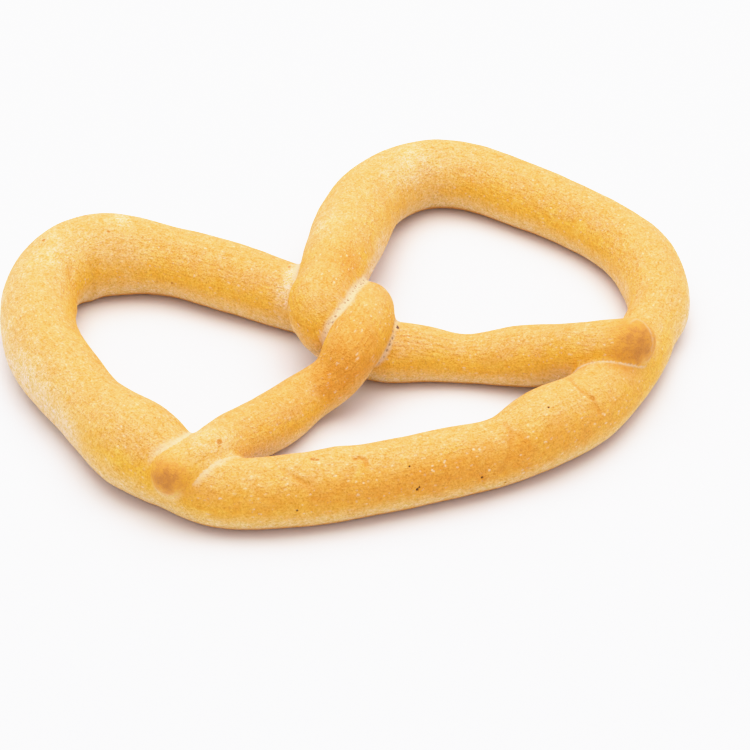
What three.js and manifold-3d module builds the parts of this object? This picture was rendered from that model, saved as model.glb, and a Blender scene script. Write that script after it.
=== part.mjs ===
// A soft pretzel: one rope of baked dough. It runs from the twist round the left loop,
// along the thick front, and round the right loop back to the twist. There the two ends
// cross over each other, and each is laid on the ring with its browned tip.
// Millimetres, +Z up. The flat sole lies on z = 0 and the outline is centred on the origin.

import * as THREE from 'three';
import { mergeVertices } from 'three/addons/utils/BufferGeometryUtils.js';
import Module from 'manifold-3d';

const CRUST_COLOUR = 0xe8b35c;
const CRUST_ROUGHNESS = 0.62;

// How finely a length of rope is faceted.
const ROPE_SIDES = 20;
const CROSS_SECTION_STEP = 3.4;
const ROUND_END_RINGS = 4;
const LENGTH_DIVISIONS = 1000;

// Resting dough sags: its centre line is only this share of a radius above its underside.
const SAG = 0.9;

// The rope is lofted through these stations, each [x, y, gap below the rope, radius].
const RING_STATIONS = [
  // From the turn inside the twist, under the other strand, to the left loop.
  [0, 4, 2.5, 8.25],
  [-6.25, 15, 0, 9.25],
  [-23, 38.5, 0, 10.5],
  [-37.5, 57, 0, 10.5],
  [-53.5, 67, 0, 12.25],
  [-67.5, 67.5, 0, 11.75],
  [-81, 54.5, 0, 11],
  [-89, 31, 0, 11.25],
  [-89.5, 11, 0, 11.25],
  [-88.5, -3, 0, 10.75],
  [-87, -16.5, 0, 12],
  [-84.5, -28.5, 0, 13],
  [-80, -39.5, 0, 11.25],
  [-70.5, -55, 0, 10],
  // The front.
  [-50.5, -63.5, 0, 10.25],
  [-28.5, -68, 0, 10],
  [-9, -70.5, 0, 10],
  [7, -71.5, 0, 9.75],
  [21.5, -69, 0, 11.25],
  [40.25, -63.5, 0, 10.25],
  // The right loop, which comes back over the first strand.
  [63, -47.75, 0, 9.25],
  [73.5, -37.5, 0, 8.5],
  [83, -27, 0, 9.25],
  [89.5, -6, 0, 10.25],
  [87.5, 16, 0, 9.75],
  [77.5, 39.5, 0, 10],
  [65, 59.5, 0, 10.5],
  [50.5, 67, 0, 10.75],
  [31, 59, 1.5, 11],
  [12.75, 37.75, 5, 11.5],
  [-6, 11.75, 11, 9.75],
  [-14.5, 0.5, 11.5, 9.75],
  [-14.5, -4, 8.5, 9.25],
];

// The halves meet at this share of the ring's length, in the middle of the front.
const BELLY_SHARE = 0.4;

// The left loop's end turns back over the other strand and rests its tip on the ring.
const UPPER_END_STATIONS = [
  [1, 2.5, 6, 8.25],
  [-5.25, -9.5, 10, 8.5],
  [-14.5, -19.75, 10, 8.25],
  [-20.75, -21.75, 5, 7.25],
  [-30.25, -21.75, 0.25, 7.5],
  [-43, -28.25, 0, 8.25],
  [-59.5, -36.25, 3.5, 8],
  [-72, -46.25, 8.25, 7.75],
  [-83, -49.25, 9.75, 6.5],
];

// The right loop's end dives under the upper one and rests its tip on the ring's far side.
const LOWER_END_STATIONS = [
  [-14.5, -4, 8.5, 9],
  [-10.25, -7, 3.5, 8.5],
  [-0.5, -13, 0.5, 9],
  [10, -18, 0, 8.25],
  [20.5, -24.5, 0, 7.25],
  [32.25, -32, 0.5, 8.75],
  [40.5, -39.5, 3.5, 8.75],
  [46, -48.5, 9.5, 8],
  [52, -53, 12.5, 7.5],
  [57, -55, 13.25, 7.25],
];

// The block under the sole that cuts it flat.
const TRAY_SIZE = 400;
const TRAY_DEPTH = 20;

const UP = new THREE.Vector3(0, 0, 1);

// A smooth centre line through the stations, with the rope's radius along it.
function ropeCourse(stations) {
  const centres = stations.map(([x, y, gap, radius]) => new THREE.Vector3(x, y, gap + SAG * radius));
  const radii = stations.map(([, , , radius]) => new THREE.Vector3(radius, 0, 0));
  const centre = new THREE.CatmullRomCurve3(centres, false, 'catmullrom');
  centre.arcLengthDivisions = LENGTH_DIVISIONS;
  return { centre, radius: new THREE.CatmullRomCurve3(radii, false, 'catmullrom') };
}

// A capsule bent along the course from one share of its length to another.
function bentRope(course, from = 0, to = 1) {
  const length = course.centre.getLength() * (to - from);
  const rings = Math.max(2, Math.round(length / CROSS_SECTION_STEP));
  const capsule = new THREE.CapsuleGeometry(1, 1, ROUND_END_RINGS, ROPE_SIDES, rings);
  const point = new THREE.Vector3();
  const vertices = capsule.attributes.position;
  for (let i = 0; i < vertices.count; i += 1) {
    point.fromBufferAttribute(vertices, i);
    const along = THREE.MathUtils.clamp(point.y + 0.5, 0, 1);
    const beyond = point.y + 0.5 - along;
    const share = course.centre.getUtoTmapping(from + (to - from) * along);
    const radius = course.radius.getPoint(share).x;
    const ahead = course.centre.getTangent(share);
    const side = new THREE.Vector3().crossVectors(ahead, UP).normalize();
    const over = new THREE.Vector3().crossVectors(side, ahead);
    const placed = course.centre.getPoint(share)
      .addScaledVector(ahead, beyond * radius)
      .addScaledVector(side, point.x * radius)
      .addScaledVector(over, point.z * radius);
    vertices.setXYZ(i, placed.x, placed.y, placed.z);
  }
  return capsule;
}

function toSolid(wasm, geometry) {
  const bare = geometry.clone();
  bare.deleteAttribute('normal');
  bare.deleteAttribute('uv');
  const closed = mergeVertices(bare);
  return new wasm.Manifold(new wasm.Mesh({
    numProp: 3,
    vertProperties: new Float32Array(closed.attributes.position.array),
    triVerts: new Uint32Array(closed.index.array),
  }));
}

function toGeometry(solid) {
  const mesh = solid.getMesh();
  const geometry = new THREE.BufferGeometry();
  geometry.setAttribute('position', new THREE.BufferAttribute(mesh.vertProperties, 3));
  geometry.setIndex(new THREE.BufferAttribute(mesh.triVerts, 1));
  return geometry;
}

// Leaves out any sealed pocket or loose sliver that fusing makes where strands touch.
function largestBody(solid) {
  return solid.decompose().sort((a, b) => b.volume() - a.volume())[0];
}

// The strands fused into one body, and the sole cut flat.
function pretzelGeometry(wasm) {
  const ring = ropeCourse(RING_STATIONS);
  const leftHalf = toSolid(wasm, bentRope(ring, 0, BELLY_SHARE));
  const rightHalf = toSolid(wasm, bentRope(ring, BELLY_SHARE, 1));
  const upperEnd = toSolid(wasm, bentRope(ropeCourse(UPPER_END_STATIONS)));
  const lowerEnd = toSolid(wasm, bentRope(ropeCourse(LOWER_END_STATIONS)));
  const block = new THREE.BoxGeometry(TRAY_SIZE, TRAY_SIZE, TRAY_DEPTH);
  const tray = toSolid(wasm, block.translate(0, 0, -TRAY_DEPTH / 2));
  return toGeometry(largestBody(leftHalf.add(rightHalf).add(upperEnd).add(lowerEnd).subtract(tray)));
}

// Moves the outline's middle onto the origin, leaving the height alone.
function centreOutline(geometry) {
  geometry.computeBoundingBox();
  const middle = geometry.boundingBox.getCenter(new THREE.Vector3());
  return geometry.translate(-middle.x, -middle.y, 0);
}

const wasm = await Module();
wasm.setup();

const crust = new THREE.MeshStandardMaterial({
  color: CRUST_COLOUR,
  roughness: CRUST_ROUGHNESS,
  metalness: 0,
});
const pretzel = new THREE.Mesh(centreOutline(pretzelGeometry(wasm)), crust);
pretzel.name = 'pretzel';

const group = new THREE.Group();
group.add(pretzel);

export default group;
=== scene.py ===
from math import cos, pi, radians, sin

import bpy
import numpy as np
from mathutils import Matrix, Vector, noise


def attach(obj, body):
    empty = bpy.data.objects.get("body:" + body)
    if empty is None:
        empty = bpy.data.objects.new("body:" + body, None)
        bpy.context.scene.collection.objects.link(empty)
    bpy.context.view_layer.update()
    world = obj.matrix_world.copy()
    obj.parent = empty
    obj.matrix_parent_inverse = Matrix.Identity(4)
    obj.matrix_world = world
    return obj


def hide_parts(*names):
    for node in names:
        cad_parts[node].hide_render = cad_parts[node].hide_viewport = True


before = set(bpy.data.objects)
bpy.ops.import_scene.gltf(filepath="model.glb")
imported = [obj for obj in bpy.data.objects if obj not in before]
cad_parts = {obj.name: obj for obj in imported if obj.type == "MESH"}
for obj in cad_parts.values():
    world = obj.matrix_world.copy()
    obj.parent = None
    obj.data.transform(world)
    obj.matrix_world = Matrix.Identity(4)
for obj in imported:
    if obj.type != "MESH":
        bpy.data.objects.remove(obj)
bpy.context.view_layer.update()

MM = 0.001

# ---------------------------------------------------------------- camera

VIEW_TARGET = Vector((-2.4, -11.3, 0)) * MM
VIEW_DISTANCE = 1049.4 * MM
VIEW_TURN = radians(26.5)
VIEW_DOWN = radians(35)
LENS = 172.8
SENSOR = 36


def add_camera():
    level = cos(VIEW_DOWN)
    backwards = Vector((-level * sin(VIEW_TURN), -level * cos(VIEW_TURN), sin(VIEW_DOWN)))
    bpy.ops.object.camera_add(
        location=VIEW_TARGET + backwards * VIEW_DISTANCE,
        rotation=(radians(90) - VIEW_DOWN, 0, -VIEW_TURN),
    )
    camera = bpy.context.object
    camera.data.sensor_width = SENSOR
    camera.data.lens = LENS
    bpy.context.scene.camera = camera


# ---------------------------------------------------------------- the rope's course, in millimetres

# Resting dough sags: its centre line is only this share of a radius above its underside.
SAG = 0.9

# Each station is x, y, gap below the rope, radius.
RING_STATIONS = [
    (0, 4, 2.5, 8.25),
    (-6.25, 15, 0, 9.25),
    (-23, 38.5, 0, 10.5),
    (-37.5, 57, 0, 10.5),
    (-53.5, 67, 0, 12.25),
    (-67.5, 67.5, 0, 11.75),
    (-81, 54.5, 0, 11),
    (-89, 31, 0, 11.25),
    (-89.5, 11, 0, 11.25),
    (-88.5, -3, 0, 10.75),
    (-87, -16.5, 0, 12),
    (-84.5, -28.5, 0, 13),
    (-80, -39.5, 0, 11.25),
    (-70.5, -55, 0, 10),
    (-50.5, -63.5, 0, 10.25),
    (-28.5, -68, 0, 10),
    (-9, -70.5, 0, 10),
    (7, -71.5, 0, 9.75),
    (21.5, -69, 0, 11.25),
    (40.25, -63.5, 0, 10.25),
    (63, -47.75, 0, 9.25),
    (73.5, -37.5, 0, 8.5),
    (83, -27, 0, 9.25),
    (89.5, -6, 0, 10.25),
    (87.5, 16, 0, 9.75),
    (77.5, 39.5, 0, 10),
    (65, 59.5, 0, 10.5),
    (50.5, 67, 0, 10.75),
    (31, 59, 1.5, 11),
    (12.75, 37.75, 5, 11.5),
    (-6, 11.75, 11, 9.75),
    (-14.5, 0.5, 11.5, 9.75),
    (-14.5, -4, 8.5, 9.25),
]
# The left loop's end turns back over the other strand and rests its tip on the ring.
UPPER_END_STATIONS = [
    (1, 2.5, 6, 8.25),
    (-5.25, -9.5, 10, 8.5),
    (-14.5, -19.75, 10, 8.25),
    (-20.75, -21.75, 5, 7.25),
    (-30.25, -21.75, 0.25, 7.5),
    (-43, -28.25, 0, 8.25),
    (-59.5, -36.25, 3.5, 8),
    (-72, -46.25, 8.25, 7.75),
    (-83, -49.25, 9.75, 6.5),
]
# The right loop's end dives under the upper one and rests its tip on the ring's far side.
LOWER_END_STATIONS = [
    (-14.5, -4, 8.5, 9),
    (-10.25, -7, 3.5, 8.5),
    (-0.5, -13, 0.5, 9),
    (10, -18, 0, 8.25),
    (20.5, -24.5, 0, 7.25),
    (32.25, -32, 0.5, 8.75),
    (40.5, -39.5, 3.5, 8.75),
    (46, -48.5, 9.5, 8),
    (52, -53, 12.5, 7.5),
    (57, -55, 13.25, 7.25),
]


def centre_rows(stations):
    """The stations as rows of centre x, y, z and radius, in metres."""
    rows = [(x, y, gap + SAG * radius, radius) for x, y, gap, radius in stations]
    return np.array(rows, float) * MM


def with_ends(rows):
    """The rows with one more at each end, straight on, for the slopes there."""
    return np.vstack([2 * rows[0] - rows[1], rows, 2 * rows[-1] - rows[-2]])


# Places worked out between one station and the next.
COURSE_STEPS = 20


def smooth_course(rows):
    """The rows with more between them, on a Catmull-Rom curve."""
    course = []
    run = with_ends(rows)
    for before, start, end, after in zip(run, run[1:], run[2:], run[3:]):
        for t in np.linspace(0, 1, COURSE_STEPS, endpoint=False):
            slope = (end - before) * t
            bend = (2 * before - 5 * start + 4 * end - after) * t * t
            twist = (3 * start - before - 3 * end + after) * t ** 3
            course.append(start + 0.5 * (slope + bend + twist))
    course.append(rows[-1])
    return np.array(course)


def outline_middle(runs):
    """The middle of the outline that the rope covers, seen from above."""
    course = np.vstack([smooth_course(rows) for rows in runs])
    low = (course[:, :2] - course[:, 3:]).min(axis=0)
    high = (course[:, :2] + course[:, 3:]).max(axis=0)
    return (low + high) / 2


RING = centre_rows(RING_STATIONS)
UPPER_END = centre_rows(UPPER_END_STATIONS)
LOWER_END = centre_rows(LOWER_END_STATIONS)
MIDDLE = outline_middle([RING, UPPER_END, LOWER_END])
for rows in (RING, UPPER_END, LOWER_END):
    rows[:, :2] -= MIDDLE


class Rope:
    """The whole rope from the upper end's tip to the lower end's: where a point lies along and around it."""

    # A point's own strand and another one that it touches are at least this far apart along the rope.
    APART = 38 * MM
    # How many points are looked at in one go.
    BATCH = 8192

    def __init__(self):
        lengths = [smooth_course(UPPER_END[::-1]), smooth_course(RING)[1:], smooth_course(LOWER_END)[1:]]
        course = np.vstack(lengths)
        self.centre = course[:, :3]
        self.radius = course[:, 3]
        steps = np.linalg.norm(np.diff(self.centre, axis=0), axis=1)
        self.along = np.concatenate([[0], np.cumsum(steps)])
        slope = np.gradient(self.centre, self.along, axis=0)
        self.ahead = slope / np.linalg.norm(slope, axis=1)[:, None]
        self.bend = np.gradient(self.ahead, self.along, axis=0)
        up = np.array([0, 0, 1]) - self.ahead * self.ahead[:, 2:3]
        self.up = up / np.linalg.norm(up, axis=1)[:, None]
        self.side = np.cross(self.ahead, self.up)

    def locate(self, points):
        """Each point's metres along the rope, its angle from the top, and how much farther
        the next strand is."""
        along = np.empty(len(points))
        angle = np.empty(len(points))
        neighbour = np.empty(len(points))
        centre_square = (self.centre ** 2).sum(axis=1)
        for first in range(0, len(points), self.BATCH):
            part = points[first:first + self.BATCH]
            span = slice(first, first + len(part))
            square = (part ** 2).sum(axis=1)[:, None] - 2 * part @ self.centre.T + centre_square
            gap = np.sqrt(np.maximum(square, 0)) - self.radius
            nearest = gap.argmin(axis=1)
            out = part - self.centre[nearest]
            past = (out * self.ahead[nearest]).sum(axis=1) / (1 - (out * self.bend[nearest]).sum(axis=1))
            along[span] = self.along[nearest] + past
            across = (out * self.side[nearest]).sum(axis=1)
            upward = (out * self.up[nearest]).sum(axis=1)
            angle[span] = np.arctan2(across, upward)
            near_self = abs(self.along - self.along[nearest][:, None]) < self.APART
            neighbour[span] = np.where(near_self, np.inf, gap).min(axis=1) - gap.min(axis=1)
        return along, angle, neighbour


ROPE = Rope()

# ---------------------------------------------------------------- modelling

VOXEL = 0.5 * MM
WELD_REACH = 0.001 * MM
MOST_TRIANGLES = 196000
BEVEL_RESOLUTION = 20
CURVE_STEPS = 24
BALL_SEGMENTS = 48
BALL_RINGS = 24
SKIN_SOFTENING = 3
# The valleys between strands, and the bend where the ring runs on into the lower end, are evened
# out: wholly up to the first distance and not at all from the second on.
EVENING_OUT = 40
VALLEY_FADE = (1 * MM, 4 * MM)
RING_JOIN = (-17, -2)
RING_JOIN_FADE = (5 * MM, 11 * MM)


def deselect_all():
    if bpy.context.mode != "OBJECT":
        bpy.ops.object.mode_set(mode="OBJECT")
    bpy.ops.object.select_all(action="DESELECT")


def make_active(piece):
    deselect_all()
    piece.select_set(True)
    bpy.context.view_layer.objects.active = piece


def strand(rows):
    """A length of rope: a bezier curve with the rope's girth, made a mesh, and a ball at each end."""
    deselect_all()
    bpy.ops.curve.primitive_bezier_curve_add()
    curve = bpy.context.object.data
    curve.dimensions = "3D"
    curve.twist_mode = "Z_UP"
    curve.bevel_depth = 1.0
    curve.bevel_resolution = BEVEL_RESOLUTION
    curve.resolution_u = CURVE_STEPS
    curve.use_fill_caps = True
    spline = curve.splines[0]
    spline.radius_interpolation = "CARDINAL"
    spline.bezier_points.add(len(rows) - len(spline.bezier_points))
    run = with_ends(rows)
    for point, before, row, after in zip(spline.bezier_points, run, rows, run[2:]):
        # A sixth makes this the same curve as smooth_course.
        reach = (after[:3] - before[:3]) / 6
        point.handle_left_type = "FREE"
        point.handle_right_type = "FREE"
        point.co = row[:3]
        point.handle_left = row[:3] - reach
        point.handle_right = row[:3] + reach
        point.radius = row[3]
    bpy.ops.object.convert(target="MESH")
    parts = [bpy.context.object]
    for end in (rows[0], rows[-1]):
        bpy.ops.mesh.primitive_uv_sphere_add(
            segments=BALL_SEGMENTS,
            ring_count=BALL_RINGS,
            radius=end[3],
            location=end[:3],
        )
        parts.append(bpy.context.object)
    for part in parts:
        cut_sole(part)
    return parts


def cut_sole(part):
    """Cuts the part flat at the height of the tray and closes the cut."""
    make_active(part)
    bpy.ops.object.transform_apply(location=True, rotation=True, scale=True)
    bpy.ops.object.mode_set(mode="EDIT")
    bpy.ops.mesh.select_all(action="SELECT")
    bpy.ops.mesh.remove_doubles(threshold=WELD_REACH)
    bpy.ops.mesh.select_all(action="SELECT")
    bpy.ops.mesh.bisect(plane_co=(0, 0, 0), plane_no=(0, 0, 1), use_fill=True, clear_inner=True)
    bpy.ops.object.mode_set(mode="OBJECT")


def fuse(parts, name):
    """The parts joined and remeshed into one skin, with the valleys between them softened."""
    deselect_all()
    for part in parts:
        part.select_set(True)
    bpy.context.view_layer.objects.active = parts[0]
    bpy.ops.object.join()
    body = bpy.context.object
    body.name = name
    body.data.name = name
    remesh = body.modifiers.new("fuse", "REMESH")
    remesh.mode = "VOXEL"
    remesh.voxel_size = VOXEL
    bpy.ops.object.modifier_apply(modifier=remesh.name)
    soften(body, SKIN_SOFTENING)
    return body


def soften(body, times, weights=None):
    """Evens out the skin, all over or by a weight for each point."""
    smooth = body.modifiers.new("soften", "SMOOTH")
    smooth.factor = 0.5
    smooth.iterations = times
    if weights is not None:
        group = body.vertex_groups.new(name="softened")
        for index in np.nonzero(weights)[0]:
            group.add([int(index)], float(weights[index]), "REPLACE")
        smooth.vertex_group = group.name
    bpy.ops.object.modifier_apply(modifier=smooth.name)


def points_of(body):
    values = np.empty(len(body.data.vertices) * 3)
    body.data.vertices.foreach_get("co", values)
    return values.reshape(-1, 3)


def normals_of(body):
    values = np.empty(len(body.data.vertices) * 3)
    body.data.vertex_normals.foreach_get("vector", values)
    return values.reshape(-1, 3)


def move_points(body, points):
    body.data.vertices.foreach_set("co", points.ravel())
    body.data.update()


def refine(body, near, cuts):
    """Splits the edges of the faces whose corners are all marked as near."""
    make_active(body)
    mesh = body.data
    corners = np.empty(len(mesh.loops), int)
    mesh.loops.foreach_get("vertex_index", corners)
    starts = np.empty(len(mesh.polygons), int)
    mesh.polygons.foreach_get("loop_start", starts)
    chosen = np.minimum.reduceat(near[corners].astype(int), starts).astype(bool)
    bpy.ops.object.mode_set(mode="EDIT")
    bpy.ops.mesh.select_mode(type="FACE")
    bpy.ops.mesh.select_all(action="DESELECT")
    bpy.ops.object.mode_set(mode="OBJECT")
    mesh.polygons.foreach_set("select", chosen)
    bpy.ops.object.mode_set(mode="EDIT")
    bpy.ops.mesh.subdivide(number_cuts=cuts)
    bpy.ops.object.mode_set(mode="OBJECT")


def thin_out(body):
    """Takes out the faces that a smooth stretch can spare."""
    thin = body.modifiers.new("thin_out", "DECIMATE")
    triangles = sum(len(face.vertices) - 2 for face in body.data.polygons)
    thin.ratio = MOST_TRIANGLES / triangles
    bpy.ops.object.modifier_apply(modifier=thin.name)


def fade(distance, near, far):
    """1 up to near, 0 from far on, and smooth between."""
    t = np.clip((far - distance) / (far - near), 0, 1)
    return t * t * (3 - 2 * t)


# ---------------------------------------------------------------- relief

# Places on the crust are millimetres along the rope from the upper end's tip, and degrees round
# it from the top. Seen along the rope, the degrees grow towards its right.

# Lumps all over the skin, and a finer roughness in the creases: height and size in millimetres.
LUMPS = [
    (0.22, 15),
    (0.12, 6),
]
CREASE_ROUGHNESS = (0.12, 1.3)
# How far the noise moves on for each seed.
NOISE_STEPS = (17.3, 5.1, 9.7)
# Place, length and width in millimetres, and how far the skin stands out there.
SWELLS = [
    (416.9, 40, 13, 16, 0.35),
    (427.9, 45, 7, 14, -0.4),
    (380.4, 26, 3.5, 4, 0.35),
    (370.5, 1, 3, 2.2, -0.5),
    (373.4, 19, 3, 3, -0.3),
    (377.9, -23, 9, 6, 0.5),
    (368.9, -20, 5, 6, -0.35),
    (389.9, -20, 7, 6, -0.3),
    (207.9, -132, 15, 12, 1.3),
    (192.9, -132, 14, 10, 0.5),
    (233.9, -92, 8, 10, 0.7),
    (751.3, -2, 2, 2, 0.4),
]
# Lines pressed into the skin: width, depth, how orange they are (partly their own colour, partly painted
# shade in the dent), and the places that each runs through.
DENT_LINES = [
    (1.6, 0.45, 0.55, [(426.4, 5), (426.3, 24), (425.3, 38), (424, 53), (422.5, 67), (420.9, 87)]),
    (1.2, 0.4, 0.55, [(452.9, -23), (450.7, 0), (450.5, 21), (452, 35), (451.9, 47), (451.9, 58)]),
    (1.2, 0.6, 0.75, [(381.1, 14), (382.6, 12), (384, 19), (383.7, 29)]),
    (1.8, 0.5, 0.3, [(361.7, 18), (364.5, 33), (367.9, 48)]),
    (0.9, 0.22, 0.1, [(751.9, 14), (756.9, 13), (762.9, 17), (768.9, 16)]),
    (0.9, 0.2, 0.1, [(752.9, 24), (757.9, 24), (762.9, 28)]),
    (0.9, 0.2, 0.1, [(753.9, 34), (759.9, 36), (765.9, 36)]),
    (2.4, 0.5, 0.3, [(222.5, -48), (226.3, -58), (230, -70), (233.6, -77), (232.9, -90)]),
]
# Little holes, dented in and darkened with painted shade: place, radius and depth in millimetres.
PORES = [
    (396.6, 83, 0.42, 0.7),
    (397.2, 80, 0.3, 0.5),
    (415.3, 87, 0.36, 0.7),
    (422.2, 113, 0.3, 0.5),
    (395.4, 43, 0.28, 0.4),
    (364.2, 87, 0.3, 0.5),
    (439, 20, 0.3, 0.4),
    (309.1, -13, 0.35, 0.4),
]
# A little hole is deepest up to the first share of its radius and ends at the second.
PORE_FADE = (0.3, 1.3)
# The mesh is made finer this near to a line or a little hole.
MARK_REACH = 1.8 * MM
MARK_CUTS = 2


def noise_at(points, size, seed):
    """Smooth noise from -1 to 1 at each point, with lumps of about the given size."""
    shift = Vector([seed * step for step in NOISE_STEPS])
    return np.array([noise.noise(Vector(point) / size + shift) for point in points])


def unrolled(along, angle, place_along, place_angle):
    """How far points lie from a place, in metres along the rope and in metres round it."""
    radius = np.interp(place_along * MM, ROPE.along, ROPE.radius)
    turn = (angle - radians(place_angle) + pi) % (2 * pi) - pi
    return along - place_along * MM, turn * radius


def patch_at(along, angle, place_along, place_angle, length, width):
    """A soft-edged patch: 1 at its middle."""
    ahead, across = unrolled(along, angle, place_along, place_angle)
    return np.exp(-(ahead / (length * MM / 2)) ** 2 - (across / (width * MM / 2)) ** 2)


def metres_to_line(along, angle, places):
    """How far points lie from a line through the places."""
    nearest = np.full(len(along), np.inf)
    for start, end in zip(places, places[1:]):
        ahead, across = unrolled(along, angle, *start)
        end_ahead, end_across = unrolled(np.array([end[0] * MM]), np.array([radians(end[1])]), *start)
        run = np.array([end_ahead[0], end_across[0]])
        share = np.clip((ahead * run[0] + across * run[1]) / (run ** 2).sum(), 0, 1)
        nearest = np.minimum(nearest, np.hypot(ahead - share * run[0], across - share * run[1]))
    return nearest


def line_orange_and_shade_at(along, angle):
    """How orange the skin is along its lines: partly their own colour, partly painted shade in the dents."""
    line_orange_and_shade = np.zeros(len(along))
    for width, _, orange_and_shade, places in DENT_LINES:
        far = metres_to_line(along, angle, places)
        line_orange_and_shade = np.maximum(line_orange_and_shade, orange_and_shade * np.exp(-(far / (width * MM / 2)) ** 2))
    return line_orange_and_shade


def near_marks(along, angle):
    """Which points lie near a line or a little hole."""
    near = np.zeros(len(along), bool)
    for *_, places in DENT_LINES:
        near |= metres_to_line(along, angle, places) < MARK_REACH
    for place_along, place_angle, *_ in PORES:
        near |= np.hypot(*unrolled(along, angle, place_along, place_angle)) < MARK_REACH
    return near


def pore_depths(along, angle):
    """How deep the little holes are, in millimetres."""
    floor, edge = PORE_FADE
    depths = np.zeros(len(along))
    for place_along, place_angle, radius, depth in PORES:
        far = np.hypot(*unrolled(along, angle, place_along, place_angle))
        depths = np.maximum(depths, depth * fade(far, floor * radius * MM, edge * radius * MM))
    return depths


def relieve(body):
    """Moves the smooth rope's skin to its lumps, creases, dents and little holes."""
    points = points_of(body)
    normals = normals_of(body)
    along, angle, neighbour = ROPE.locate(points)
    out = np.zeros(len(points))
    for seed, (height, size) in enumerate(LUMPS, start=1):
        out += height * noise_at(points, size * MM, seed)
    height, size = CREASE_ROUGHNESS
    out += height * crease_at(points, along, neighbour) * noise_at(points, size * MM, len(LUMPS) + 1)
    for place_along, place_angle, length, width, height in SWELLS:
        out += height * patch_at(along, angle, place_along, place_angle, length, width)
    for width, depth, _, places in DENT_LINES:
        out -= depth * np.exp(-(metres_to_line(along, angle, places) / (width * MM / 2)) ** 2)
    out -= pore_depths(along, angle)
    points += normals * out[:, None] * MM
    points[:, 2] = np.maximum(points[:, 2], 0)
    move_points(body, points)


# ---------------------------------------------------------------- attributes that the crust reads

# A crease's pale band reaches this far, and is full up to this share of that.
CREASE_REACH = 3.5 * MM
CREASE_BOTTOM = 0.1
# A place counts in full up to this share of its reach.
CREASE_PLACE_CORE = 0.5
PITTED_CORE = 0.8
# Where a crease differs: x, y, reach of the place, the pale band's reach, and how much of it shows.
CREASE_PLACES = [
    (-88, -51, 10, 3, 0),
    (-80, -43, 10, 4.6, 0.85),
    (-72, -54, 13, 3.4, 0.7),
    (-84, -58, 6, 3, 0.1),
    (4, -14, 10, 2.4, 0.7),
    (52, -60, 17, 1.7, 0.8),
    (64, -57, 7, 1.2, 0.3),
]
# At a landing the strand beneath is pale. The end's own skin loses this share of the paleness,
# up to the first distance from its tip and less up to the second.
TIP_DARKNESS = 0.85
TIP_FADE = (16 * MM, 20 * MM)
# Creases with a line of little holes in them, drawn as painted shade: x, y, reach, strength.
PITTED = [
    (-8, -5, 22, 1.0),
    (52, -60, 14, 0.3),
]
PIT_LINE_FADE = (0.6 * MM, 1.8 * MM)
# Places that are darker (above 0) or paler (below 0), partly from baking and partly painted light and shade:
# place, length, width, strength.
BAKED_AND_PAINTED_LIGHT_PATCHES = [
    (12, -10, 16, 26, -0.4),
    # Paler on the upper end's shaded underside: painted light.
    (31, 98, 34, 12, -0.5),
    (45, 0, 40, 30, 0.3),
    (77.5, 50, 18, 30, 0.52),
    (91, 0, 50, 40, 0.28),
    (708, 0, 44, 32, 0.42),
    (70.1, 40, 9, 12, 0.4),
    (134.9, -10, 8, 22, -1.1),
    (192.9, -60, 24, 12, -0.35),
    (192.9, 8, 9, 8, -0.5),
    (222.9, -8, 50, 24, -0.38),
    (292.9, 10, 90, 30, -0.1),
    # Paler on the left loop's outer flank, which faces the light: partly painted light.
    (270.9, 98, 96, 20, -1.1),
    (402.9, 0, 120, 20, -0.1),
    # Deeper on the front's near flank and low on it: partly painted shade.
    (402.9, 66, 170, 12, 0.75),
    (407, 96, 130, 13, 0.2),
    (427.9, 50, 6, 9, 0.5),
    (404.9, 62, 14, 8, 0.4),
    # Paler low on the next two flanks: partly painted light off the table.
    (514.9, 94, 64, 14, -0.9),
    (522.9, -92, 40, 10, -0.6),
    (634.9, -45, 54, 22, -0.5),
    (692.9, 38, 36, 24, -0.6),
    # Paler low on this flank: partly painted light off the table.
    (696.9, -94, 54, 12, -0.9),
    (709.9, -42, 24, 12, 0.4),
    (786, 104, 60, 12, 0.1),
]
# The browned tips: x, y, z, reach, strength.
BROWNED_SPOTS = [
    (-86, -51.5, 18.5, 6.6, 0.32),
    (-86.4, -53, 17.8, 3.8, 0.7),
    (-80, -55.5, 15.5, 5.5, 0.25),
    (-90.5, -48, 16.5, 4.5, 0.25),
    (56.8, -58, 23.5, 8.8, 0.55),
    (58, -60, 22, 5, 0.55),
    (51, -60.5, 20, 5, 0.25),
]
# The rim round the right tip, with a painted highlight along it.
TIP_RIM_HIGHLIGHT = [
    (56.7, -54.8, 27.0),
    (59.9, -53.6, 26.5),
    (61.1, -55.3, 26.1),
    (61.4, -57.3, 25.5),
    (61.7, -59.1, 24.0),
    (61.4, -60.5, 22.2),
    (60.7, -61.2, 20.2),
]
RIM_FADE = (0.1 * MM, 0.7 * MM)
# Streaks and flecks stop short of the tips and of the creases.
STEADY_FROM_TIP = (0, 6 * MM)
STEADY_FROM_CREASE = (0.6 * MM, 2 * MM)


def write_attribute(body, name, values):
    kind = "FLOAT_VECTOR" if values.ndim == 2 else "FLOAT"
    field = "vector" if values.ndim == 2 else "value"
    attribute = body.data.attributes.new(name, kind, "POINT")
    attribute.data.foreach_set(field, values.astype(np.float32).ravel())


def metres_to_tip(along):
    return np.minimum(along, ROPE.along[-1] - along)


def metres_across(points, x, y):
    """How far points lie from a place, seen from above."""
    return np.hypot(points[:, 0] - x * MM, points[:, 1] - y * MM)


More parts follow.
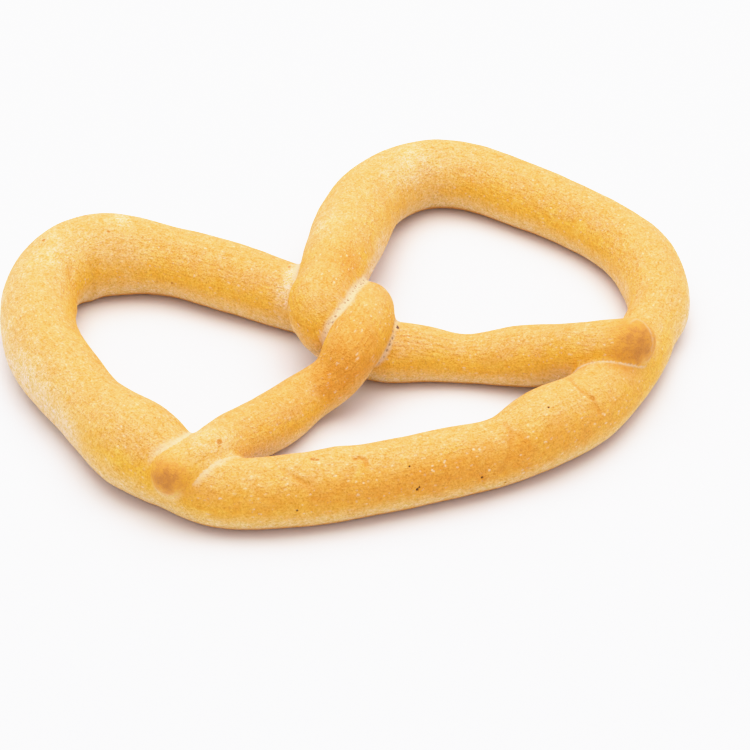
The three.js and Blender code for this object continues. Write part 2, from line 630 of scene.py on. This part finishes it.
def crease_at(points, along, neighbour):
    """1 at the bottom of a crease, 0 beyond its pale band."""
    band = np.full(len(points), CREASE_REACH)
    shown = np.ones(len(points))
    for x, y, reach, width, share in CREASE_PLACES:
        here = fade(metres_across(points, x, y), CREASE_PLACE_CORE * reach * MM, reach * MM)
        band += here * (width * MM - band)
        shown *= 1 - (1 - share) * here
    shown *= 1 - TIP_DARKNESS * fade(metres_to_tip(along), *TIP_FADE)
    return shown * fade(neighbour / band, CREASE_BOTTOM, 1)


def pits_at(points, neighbour):
    """Where the painted shade of little holes goes: 1 at the bottom of a pitted crease, 0 a little way up."""
    pits = np.zeros(len(points))
    for x, y, reach, strength in PITTED:
        pits += strength * fade(metres_across(points, x, y), PITTED_CORE * reach * MM, reach * MM)
    return pits * fade(neighbour, *PIT_LINE_FADE)


def browned_at(points):
    """How brown the tips are."""
    browned = np.zeros(len(points))
    for x, y, z, reach, strength in BROWNED_SPOTS:
        far = np.linalg.norm(points - np.array([x, y, z]) * MM, axis=1)
        browned += strength * np.exp(-(far / (reach * MM)) ** 2)
    return browned


def rim_highlight_at(points):
    """Painted highlight: 1 on the line round the right tip, 0 a little way off it."""
    nearest = np.full(len(points), np.inf)
    for start, end in zip(TIP_RIM_HIGHLIGHT, TIP_RIM_HIGHLIGHT[1:]):
        first = np.array(start) * MM
        run = np.array(end) * MM - first
        share = np.clip((points - first) @ run / (run @ run), 0, 1)
        nearest = np.minimum(nearest, np.linalg.norm(points - first - share[:, None] * run, axis=1))
    return fade(nearest, *RIM_FADE)


def write_attributes(body):
    points = points_of(body)
    along, angle, neighbour = ROPE.locate(points)
    radius = np.interp(along, ROPE.along, ROPE.radius)
    baked_and_painted_light = sum(patch[-1] * patch_at(along, angle, *patch[:-1]) for patch in BAKED_AND_PAINTED_LIGHT_PATCHES)
    past_tip = 1 - fade(metres_to_tip(along), *STEADY_FROM_TIP)
    past_crease = 1 - fade(neighbour, *STEADY_FROM_CREASE)
    write_attribute(body, "grain", np.column_stack([along, angle * radius, 0 * along]) / MM)
    write_attribute(body, "crease", crease_at(points, along, neighbour))
    write_attribute(body, "upward", normals_of(body)[:, 2])
    write_attribute(body, "baked_and_painted_light", np.clip(baked_and_painted_light, -1, 1))
    write_attribute(body, "browned", browned_at(points))
    write_attribute(body, "rim_highlight", rim_highlight_at(points))
    write_attribute(body, "line_orange_and_shade", line_orange_and_shade_at(along, angle))
    write_attribute(body, "pits", pits_at(points, neighbour))
    write_attribute(body, "steady", past_tip * past_crease)


# ---------------------------------------------------------------- crust

# Paler straw on top: partly the crust's own colour, partly a painted highlight where the top light falls.
TOP_STRAW_AND_HIGHLIGHT = (0.80, 0.42, 0.113)
FLANK_GOLD = (0.86, 0.45, 0.034)
# Paler tan low on the flanks: partly the crust's own colour, partly painted light off the table.
TRAY_TAN_AND_TABLE_LIGHT = (0.86, 0.58, 0.22)
# Pale patches: partly dough that stayed pale, partly painted light on flanks.
PALE_DOUGH_AND_PAINTED_LIGHT = (0.86, 0.60, 0.33)
# Deep orange: the tips' browning and darker baked patches, and painted shade in some patches.
DEEP_ORANGE = (0.76, 0.32, 0.026)
SOLE_BROWN = (0.72, 0.30, 0.05)
CREASE_CREAM = (0.80, 0.57, 0.35)
TIP_BROWN = (0.53, 0.20, 0.026)
FLECK_CREAM = (0.95, 0.70, 0.46)
SPOT_ORANGE = (0.58, 0.22, 0.012)
# Orange along the folds: partly their own colour, partly painted shade in the dents.
FOLD_ORANGE_AND_SHADE = (0.70, 0.29, 0.022)
# Painted shade in the little holes along the creases.
PIT_SHADE = (0.36, 0.22, 0.11)
# Painted shade in the little holes, and the dark crumb's own colour.
PORE_SHADE_AND_CRUMB = (0.16, 0.07, 0.03)

# How far up the skin faces where one colour goes over into the next: 1 on top, 0 on an upright
# flank, and -1 on the sole.
# The top's paler straw is partly a painted highlight, and the tan low on the flanks partly painted light off
# the table.
TOP_TO_FLANK = (0.95, 0.2)
FLANK_TO_TRAY = (0.15, -0.5)
TRAY_TO_SOLE = (-0.55, -0.7)
# Noises: size in millimetres, how much finer detail, and how rough it is.
CLOUDS = (8, 5.0, 0.6)
FINE_POINTS = (0.6, 1.0, 0.8)
MOTTLES = (2.2, 2.0, 0.6)
STREAKS = (0.9, 3.0, 0.7)
# Below 1 a pattern is drawn out along the strand.
STREAK_SCALE = (0.22, 1, 1)
FLECK_SCALE = (0.7, 1, 1)
# How strongly the clouds shift the change from top to flank, and the patches of baking and painted light and
# shade.
CLOUDS_IN_FACING = 1.1
CLOUDS_IN_BAKING = 0.9
# How strongly each noise moves the colour's red, green and blue.
FINE_TINT = (0.65, 0.9, 3.3)
MOTTLE_TINT = (0.12, 0.45, 1.9)
STREAK_TINT = (0.18, 0.42, 1.3)

# Marks strewn by chance. SIZE is their spacing in millimetres. EDGE is where a mark begins and
# where it is full, as shares of that spacing. CHANCE is the random number from which a mark
# shows, and the one from which it shows in full.
FLECK_SIZE = 1.25
FLECK_EDGE = (0.32, 0.06)
FLECK_CHANCE = (0.15, 1.0)
FLECK_RAGGEDNESS = 0.9
FLECK_STRENGTH = 0.68
SPOT_SIZE = 1.3
SPOT_EDGE = (0.35, 0.08)
SPOT_CHANCE = (0.5, 1.0)
SPOT_STRENGTH = 0.5
HOLE_SIZE = 1.2
HOLE_EDGE = (0.45, 0.25)
HOLE_CHANCE = (0.1, 0.7)
HOLE_STRENGTH = 0.85

# Ramps: the value at which each starts and ends, and what it gives at its start and end.
ORANGE_MARK_GRAIN = (0, 0.25, 1.0, 0.4)
TIP_GRAIN = (0, 0.5, 0.5, 1.1)
TIP_ORANGE_RAMP = (0.06, 0.6, 0, 0.85)
TIP_BROWN_RAMP = (0.35, 1.15, 0, 0.95)
RIM_RAMP = (-0.15, 0.1, 0.15, 0.6)
CREASE_RAMP = (0.15, 0.95, 0, 0.95)
# How much of the noise makes the pale band's edge ragged.
CREASE_RAGGEDNESS = 0.5
# How much of the fine points goes with the mottles in the tips and creases.
FINE_IN_GRAINS = 0.5

# The skin is dull, with a fine tooth.
CRUST_ROUGHNESS = 0.62
CRUST_SHINE = 0.35
TOOTH_HEIGHT = 0.5 * MM
TOOTH_STRENGTH = 0.9
STREAKS_IN_TOOTH = 1.2

# A single mark is full up to this share of its radius, and the painted shade of a little hole spreads past
# it.
MARK_CORE = 0.4
PORE_SPREAD = 1.2
# Single marks on the skin: place along and round the rope, and radius in millimetres.
ORANGE_MARKS = [
    (11.4, 29, 1.0),
    (138.5, 5, 0.6),
    (172.4, -90, 0.7),
    (197.1, -24, 0.6),
    (202.1, 22, 0.6),
    (215.8, 16, 0.8),
    (370, 0, 1.0),
    (371.1, 3, 0.8),
    (426.9, 58, 0.7),
    (452, 35, 1.1),
]
WHITE_MARKS = [
    (78.9, 41, 0.35),
    (315.8, 32, 0.4),
    (362.3, 42, 0.4),
    (401.3, 56, 0.4),
    (413.9, 38, 0.5),
    (415.5, 40, 0.5),
    (417.3, 76, 0.5),
    (453.4, 66, 0.5),
]
CRUMBS = [
    (750.9, -3, 1.1),
    (751.9, 3, 0.8),
]


class Recipe:
    """The crust's nodes, each made and joined by a short call that returns its output."""

    def __init__(self, name):
        self.material = bpy.data.materials.new(name)
        self.material.use_nodes = True
        self.tree = self.material.node_tree
        self.shader = self.tree.nodes["Principled BSDF"]

    def node(self, kind, inputs=(), **settings):
        made = self.tree.nodes.new(kind)
        for key, value in settings.items():
            setattr(made, key, value)
        for key, value in dict(inputs).items():
            if isinstance(value, bpy.types.NodeSocket):
                self.tree.links.new(value, made.inputs[key])
            else:
                made.inputs[key].default_value = value
        return made

    def attribute(self, name, output="Fac"):
        return self.node("ShaderNodeAttribute", attribute_name=name).outputs[output]

    def stretched(self, vector, scale):
        """The vector with each of its parts times the scale's."""
        made = self.node("ShaderNodeVectorMath", {0: vector, 1: scale}, operation="MULTIPLY")
        return made.outputs["Vector"]

    def noise(self, vector, size, detail=2.0, roughness=0.5):
        """Cloudy noise about 0.5, with clouds of about the given size."""
        inputs = {"Vector": vector, "Scale": 1 / size, "Detail": detail, "Roughness": roughness}
        return self.node("ShaderNodeTexNoise", inputs).outputs["Fac"]

    def cells(self, vector, size):
        """Scattered points: the distance to the nearest, and a random number for it."""
        made = self.node("ShaderNodeTexVoronoi", {"Vector": vector, "Scale": 1 / size})
        parts = self.node("ShaderNodeSeparateColor", {"Color": made.outputs["Color"]})
        return made.outputs["Distance"], parts.outputs["Red"]

    def ramp(self, value, start, end, low=0.0, high=1.0):
        """Goes smoothly from low to high while the value goes from start to end."""
        inputs = {"Value": value, "From Min": start, "From Max": end, "To Min": low, "To Max": high}
        return self.node("ShaderNodeMapRange", inputs, interpolation_type="SMOOTHSTEP").outputs["Result"]

    def marks(self, grain, places):
        """1 in the middle of each place on the skin, 0 from its radius on."""
        found = 0.0
        for along, angle, radius in places:
            across = radians(angle) * np.interp(along * MM, ROPE.along, ROPE.radius) / MM
            away = self.node("ShaderNodeVectorMath", {0: grain, 1: (along, across, 0)}, operation="DISTANCE")
            found = self.maths("MAXIMUM", found, self.ramp(away.outputs["Value"], radius, MARK_CORE * radius))
        return found

    def about_nought(self, value):
        """A noise about 0 in place of 0.5."""
        return self.maths("SUBTRACT", value, 0.5)

    def maths(self, operation, first, second=0.0, third=0.0):
        made = self.node("ShaderNodeMath", {0: first, 1: second, 2: third}, operation=operation)
        return made.outputs["Value"]

    def times(self, *values):
        product = values[0]
        for value in values[1:]:
            product = self.maths("MULTIPLY", product, value)
        return product

    def mix(self, factor, first, second, blend="MIX"):
        made = self.node("ShaderNodeMix", data_type="RGBA", blend_type=blend)
        for socket, value in ((made.inputs[0], factor), (made.inputs[6], first), (made.inputs[7], second)):
            if isinstance(value, bpy.types.NodeSocket):
                self.tree.links.new(value, socket)
            else:
                socket.default_value = (*value, 1) if isinstance(value, tuple) else value
        return made.outputs[2]

    def shaded(self, colour, amount, red, green, blue):
        """The colour with each of its channels moved by the amount times its own share."""
        shares = {"Red": red, "Green": green, "Blue": blue}
        shades = {name: self.maths("MULTIPLY_ADD", amount, share, 1.0) for name, share in shares.items()}
        return self.mix(1.0, colour, self.node("ShaderNodeCombineColor", shades).outputs["Color"], "MULTIPLY")


class Crust(Recipe):
    """The crust of the pretzel: a baked colour, partly painted light and shade, with grain, spots, tips and
    creases laid over it in turn.
    """

    def __init__(self):
        super().__init__("pale_golden_crust")
        metres = self.node("ShaderNodeTexCoord").outputs["Object"]
        self.place = self.stretched(metres, (1 / MM, 1 / MM, 1 / MM))
        self.grain = self.attribute("grain", "Vector")
        self.steady = self.attribute("steady")
        self.clouds = self.about_nought(self.noise(self.place, *CLOUDS))
        self.fine = self.about_nought(self.noise(self.place, *FINE_POINTS))
        self.mottles = self.about_nought(self.noise(self.place, *MOTTLES))
        streaks = self.about_nought(self.noise(self.stretched(self.grain, STREAK_SCALE), *STREAKS))
        self.streaks = self.times(streaks, self.steady)
        self.grains = self.maths("ADD", self.mottles, self.times(self.fine, FINE_IN_GRAINS))

    def dough_and_painted_light(self):
        """Straw on top, partly a painted highlight; deeper gold on the flanks; tan near the tray, partly
        painted light off the table; a browner sole; and patches of baking and painted light and shade.
        """
        upward = self.attribute("upward")
        facing = self.maths("MULTIPLY_ADD", self.clouds, CLOUDS_IN_FACING, upward)
        colour = self.mix(self.ramp(facing, *TOP_TO_FLANK), TOP_STRAW_AND_HIGHLIGHT, FLANK_GOLD)
        colour = self.mix(self.ramp(upward, *FLANK_TO_TRAY), colour, TRAY_TAN_AND_TABLE_LIGHT)
        colour = self.mix(self.ramp(upward, *TRAY_TO_SOLE), colour, SOLE_BROWN)
        patchy = self.maths("MULTIPLY_ADD", self.clouds, CLOUDS_IN_BAKING, self.attribute("baked_and_painted_light"))
        colour = self.mix(self.ramp(patchy, 0.0, -1.0), colour, PALE_DOUGH_AND_PAINTED_LIGHT)
        return self.mix(self.ramp(patchy, 0.0, 1.0), colour, DEEP_ORANGE)

    def grained(self, colour):
        """Fine pale and deep points, soft mottles, and streaks along the strand."""
        colour = self.shaded(colour, self.fine, *FINE_TINT)
        colour = self.shaded(colour, self.mottles, *MOTTLE_TINT)
        return self.shaded(colour, self.streaks, *STREAK_TINT)

    def flecked(self, colour):
        """Pale flecks, drawn out along the strand."""
        far, chance = self.cells(self.stretched(self.grain, FLECK_SCALE), FLECK_SIZE)
        ragged = self.maths("MULTIPLY_ADD", self.fine, FLECK_RAGGEDNESS, far)
        flecks = self.times(self.ramp(ragged, *FLECK_EDGE), self.ramp(chance, *FLECK_CHANCE), self.steady)
        flecks = self.maths("MAXIMUM", flecks, self.marks(self.grain, WHITE_MARKS))
        return self.mix(self.times(flecks, FLECK_STRENGTH), colour, FLECK_CREAM)

    def spotted(self, colour):
        """Small orange spots, and the orange of the folds, partly painted shade in the dents."""
        far, chance = self.cells(self.place, SPOT_SIZE)
        spots = self.times(self.ramp(far, *SPOT_EDGE), self.ramp(chance, *SPOT_CHANCE), SPOT_STRENGTH)
        grainy = self.ramp(self.fine, *ORANGE_MARK_GRAIN)
        marks = self.times(self.marks(self.grain, ORANGE_MARKS), grainy)
        colour = self.mix(self.maths("MAXIMUM", spots, marks), colour, SPOT_ORANGE)
        # The folds' orange is partly painted shade in the dents.
        return self.mix(self.attribute("line_orange_and_shade"), colour, FOLD_ORANGE_AND_SHADE)

    def tipped(self, colour):
        """Browned tips, and a ragged painted highlight along the rim of one."""
        browned = self.attribute("browned")
        grainy = self.ramp(browned, *TIP_GRAIN)
        brown = self.maths("MULTIPLY_ADD", self.grains, grainy, browned)
        colour = self.mix(self.ramp(brown, *TIP_ORANGE_RAMP), colour, DEEP_ORANGE)
        colour = self.mix(self.ramp(brown, *TIP_BROWN_RAMP), colour, TIP_BROWN)
        rim_highlight = self.times(self.attribute("rim_highlight"), self.ramp(self.mottles, *RIM_RAMP))
        return self.mix(rim_highlight, colour, CREASE_CREAM)

    def creased(self, colour):
        """Pale dough in the creases, with painted shade for a line of little holes at the bottom."""
        ragged = self.maths("ADD", self.clouds, self.grains)
        pale = self.maths("MULTIPLY_ADD", ragged, CREASE_RAGGEDNESS, self.attribute("crease"))
        colour = self.mix(self.ramp(pale, *CREASE_RAMP), colour, CREASE_CREAM)
        far, chance = self.cells(self.place, HOLE_SIZE)
        holes = self.times(self.ramp(far, *HOLE_EDGE), self.ramp(chance, *HOLE_CHANCE))
        holes = self.times(holes, self.attribute("pits"), HOLE_STRENGTH)
        return self.mix(holes, colour, PIT_SHADE)

    def pored(self, colour):
        """Painted shade in the little holes, and the crumb's own dark."""
        pores = [(along, angle, PORE_SPREAD * radius) for along, angle, radius, _ in PORES]
        return self.mix(self.marks(self.grain, pores + CRUMBS), colour, PORE_SHADE_AND_CRUMB)

    def finish(self, colour):
        """The colour on a dull skin with a fine tooth."""
        self.tree.links.new(colour, self.shader.inputs["Base Color"])
        tooth = self.maths("ADD", self.fine, self.times(self.streaks, STREAKS_IN_TOOTH))
        inputs = {"Height": tooth, "Distance": TOOTH_HEIGHT, "Strength": TOOTH_STRENGTH}
        bump = self.node("ShaderNodeBump", inputs)
        self.tree.links.new(bump.outputs["Normal"], self.shader.inputs["Normal"])
        self.shader.inputs["Roughness"].default_value = CRUST_ROUGHNESS
        self.shader.inputs["Specular IOR Level"].default_value = CRUST_SHINE


def crust_material():
    crust = Crust()
    colour = crust.dough_and_painted_light()
    for layer in (crust.grained, crust.flecked, crust.spotted, crust.tipped, crust.creased, crust.pored):
        colour = layer(colour)
    crust.finish(colour)
    return crust.material


# ---------------------------------------------------------------- light and floor

WORLD_STRENGTH = 0.88
SOFTBOX_PLACE = (0.08, 0.14, 0.9)
SOFTBOX_TILT = (radians(-9), radians(5), 0)
SOFTBOX_SIZE = 1.2
SOFTBOX_ENERGY = 9.0
TABLE_SIZE = 6
TABLE_WHITE = (0.833, 0.829, 0.875)
TABLE_ROUGHNESS = 0.9

# The camera's white, and how light that nears it eases off: light in, light shown.
TONE_RANGE = 1.6
TONE_WHITE = 0.968
TONE_POINTS = [(0.4, 0.4), (0.8, 0.79), (1.0, 0.915), (1.2, 0.957)]


def add_world():
    world = bpy.data.worlds.new("studio")
    bpy.context.scene.world = world
    world.use_nodes = True
    background = world.node_tree.nodes["Background"]
    background.inputs["Color"].default_value = (1, 1, 1, 1)
    background.inputs["Strength"].default_value = WORLD_STRENGTH


def add_softbox():
    bpy.ops.object.light_add(type="AREA", location=SOFTBOX_PLACE, rotation=SOFTBOX_TILT)
    light = bpy.context.object
    light.data.shape = "SQUARE"
    light.data.size = SOFTBOX_SIZE
    light.data.energy = SOFTBOX_ENERGY


def soften_highlights():
    """Near-white light eases off towards this camera's white, as on a bright studio table."""
    view = bpy.context.scene.view_settings
    view.view_transform = "Standard"
    view.use_curve_mapping = True
    tone = view.curve_mapping
    tone.white_level = (TONE_RANGE, TONE_RANGE, TONE_RANGE)
    curve = tone.curves[3]
    for light_in, light_out in TONE_POINTS:
        curve.points.new(light_in / TONE_RANGE, light_out)
    curve.points[-1].location = (1.0, TONE_WHITE)
    tone.update()


def add_floor():
    deselect_all()
    bpy.ops.mesh.primitive_plane_add(size=TABLE_SIZE)
    floor = bpy.context.object
    floor.name = "floor"
    material = bpy.data.materials.new("white_table")
    material.use_nodes = True
    shader = material.node_tree.nodes["Principled BSDF"]
    shader.inputs["Base Color"].default_value = (*TABLE_WHITE, 1)
    shader.inputs["Roughness"].default_value = TABLE_ROUGHNESS
    floor.data.materials.append(material)


soften_highlights()
add_camera()
add_world()
add_softbox()
add_floor()

pretzel = fuse(strand(RING) + strand(UPPER_END) + strand(LOWER_END), "baked_pretzel")
along, angle, neighbour = ROPE.locate(points_of(pretzel))
from_join = metres_across(points_of(pretzel), *RING_JOIN)
evened = np.maximum(fade(neighbour, *VALLEY_FADE), fade(from_join, *RING_JOIN_FADE))
soften(pretzel, EVENING_OUT, evened)
refine(pretzel, near_marks(along, angle), MARK_CUTS)
relieve(pretzel)
thin_out(pretzel)
write_attributes(pretzel)
pretzel.data.materials.clear()
pretzel.data.materials.append(crust_material())
bpy.ops.object.shade_smooth()

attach(pretzel, "root")
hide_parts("pretzel")
